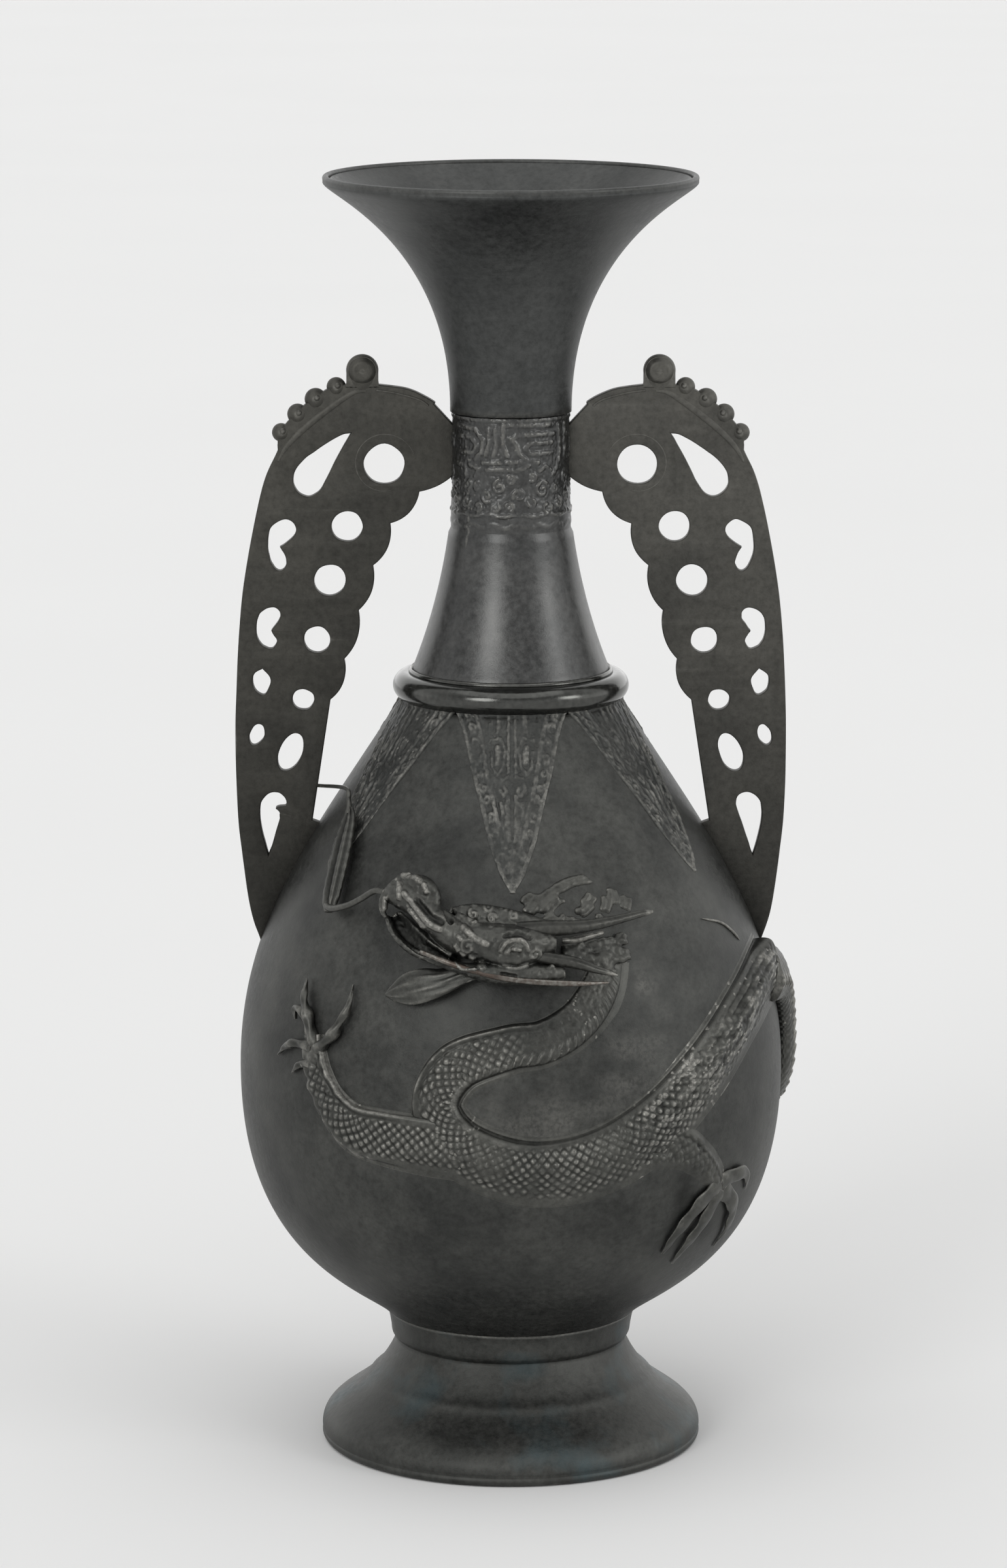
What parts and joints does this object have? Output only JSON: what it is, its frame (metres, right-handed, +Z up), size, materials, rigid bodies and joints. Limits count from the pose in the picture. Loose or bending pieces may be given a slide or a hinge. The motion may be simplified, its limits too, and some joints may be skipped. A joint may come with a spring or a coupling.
{
  "type": "bronze vase",
  "caption": "Tall dark bronze flower vase, pear-shaped on a spreading foot, with a trumpet mouth, pierced scalloped handles and a dragon in relief winding round it.",
  "frame": {"origin": "centre of the foot's underside, on the surface the vase stands on", "axes": "+Z up along the vase's axis, -Y towards the front where the dragon's head is, +X to the right of the front"},
  "size_m": [0.1577, 0.1563, 0.36],
  "materials": {
    "dark_bronze": "cast bronze under a nearly black patina, satin",
    "polished_bronze": "dark bronze rubbed smooth, glossy",
    "handle_bronze": "flat dark bronze with a slight brown tone, satin",
    "relief_bronze": "chased dark bronze with paler rubbed edges",
    "copper_wire": "dark copper wire, rubbed",
    "rivet_bronze": "plain hammered bronze"
  },
  "bodies": {
    "root": {"trumpet_mouth": "dark_bronze", "neck": "dark_bronze", "shoulder_ring": "polished_bronze", "body": "dark_bronze", "foot": "dark_bronze", "base_plate": "dark_bronze", "left_handle": "handle_bronze", "right_handle": "handle_bronze", "dragon_body": "relief_bronze", "dragon_tail": "relief_bronze", "dragon_foreleg": "relief_bronze", "dragon_hind_leg": "relief_bronze", "dragon_head": "relief_bronze", "dragon_upper_horn": "relief_bronze", "dragon_lower_horn": "relief_bronze", "dragon_beard": "relief_bronze", "dragon_left_whisker": "relief_bronze", "dragon_right_whisker": "copper_wire", "left_handle_neck_rivet": "rivet_bronze", "left_handle_upper_rivet": "rivet_bronze", "left_handle_lower_rivet": "rivet_bronze", "right_handle_neck_rivet": "rivet_bronze", "right_handle_upper_rivet": "rivet_bronze", "right_handle_lower_rivet": "rivet_bronze", "dragon_head_front_rivet": "rivet_bronze", "dragon_head_back_rivet": "rivet_bronze"}
  },
  "joints": []
}
